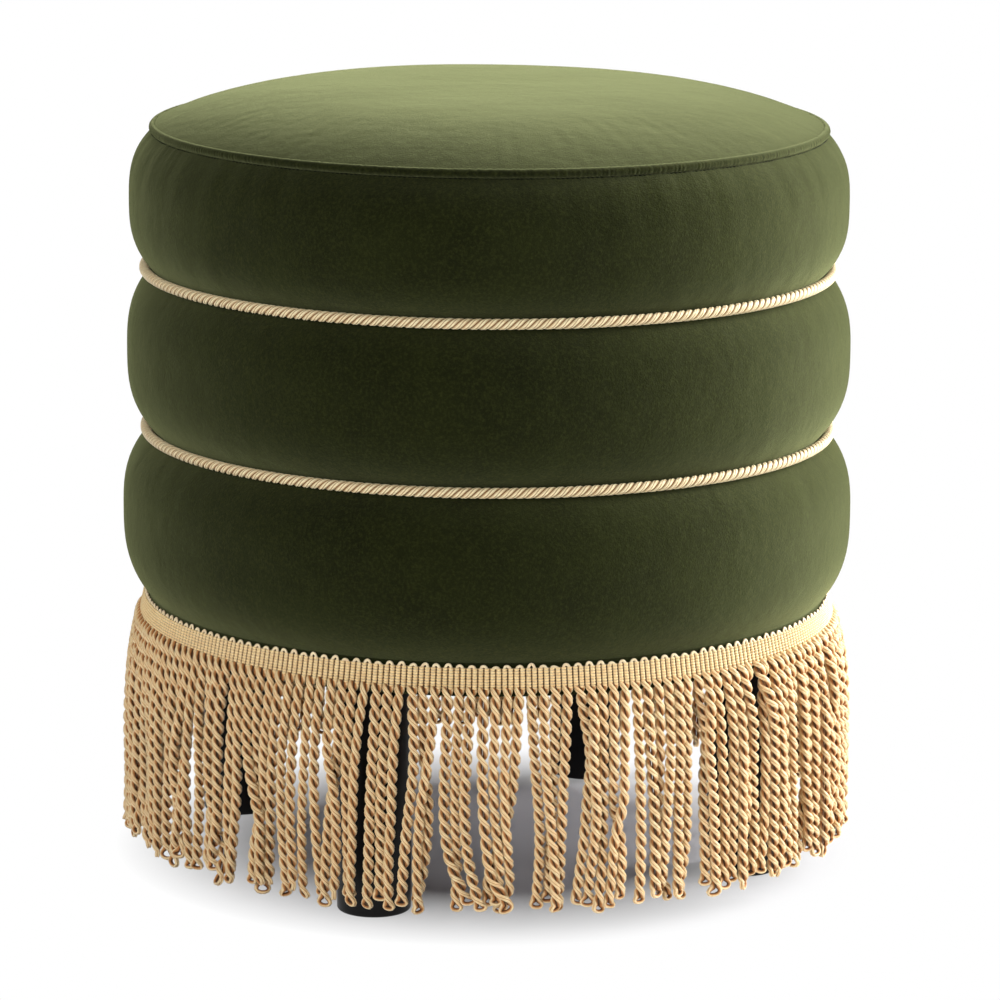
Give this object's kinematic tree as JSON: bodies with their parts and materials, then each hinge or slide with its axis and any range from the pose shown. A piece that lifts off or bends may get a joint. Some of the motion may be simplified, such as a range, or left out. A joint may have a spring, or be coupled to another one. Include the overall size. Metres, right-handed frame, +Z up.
{
  "type": "fringed round tuffet",
  "caption": "Round upholstered stool of stacked velvet rolls with rope trims in the valleys, a crowned welted seat and a bullion fringe skirt over short black legs.",
  "frame": {"origin": "on the floor under the middle of the seat: the centre of the bottom of the bounding box", "axes": "+Z up along the tuffet's axis, -Y to the front as pictured, +X to the right of the picture"},
  "size_m": [0.463, 0.463, 0.4894],
  "materials": {
    "velvet": "matte",
    "twisted_cord": "satin",
    "gimp": "satin",
    "foam": "matte",
    "plywood": "matte",
    "drum_board": "matte",
    "softwood": "matte",
    "black_leg": "satin",
    "dust_cloth": "matte",
    "steel": "satin",
    "glide_plastic": "matte"
  },
  "bodies": {
    "root": {"base_board": "plywood", "base_screws": "steel", "drum_skin": "drum_board", "dust_cover": "dust_cloth", "fringe_cords": "twisted_cord", "fringe_header": "gimp", "glide_front": "glide_plastic", "glide_left": "glide_plastic", "glide_rear": "glide_plastic", "glide_right": "glide_plastic", "hanger_bolts": "steel", "leg_front": "black_leg", "leg_left": "black_leg", "leg_rear": "black_leg", "leg_right": "black_leg", "lower_cover": "velvet", "lower_foam": "foam", "lower_former": "plywood", "lower_rope": "twisted_cord", "middle_cover": "velvet", "middle_foam": "foam", "post_front": "softwood", "post_left": "softwood", "post_rear": "softwood", "post_right": "softwood", "seat_board": "plywood", "seat_cover": "velvet", "seat_foam": "foam", "seat_screws": "steel", "tee_nuts": "steel", "top_welt": "velvet", "upper_cover": "velvet", "upper_foam": "foam", "upper_former": "plywood", "upper_rope": "twisted_cord"}
  },
  "joints": []
}
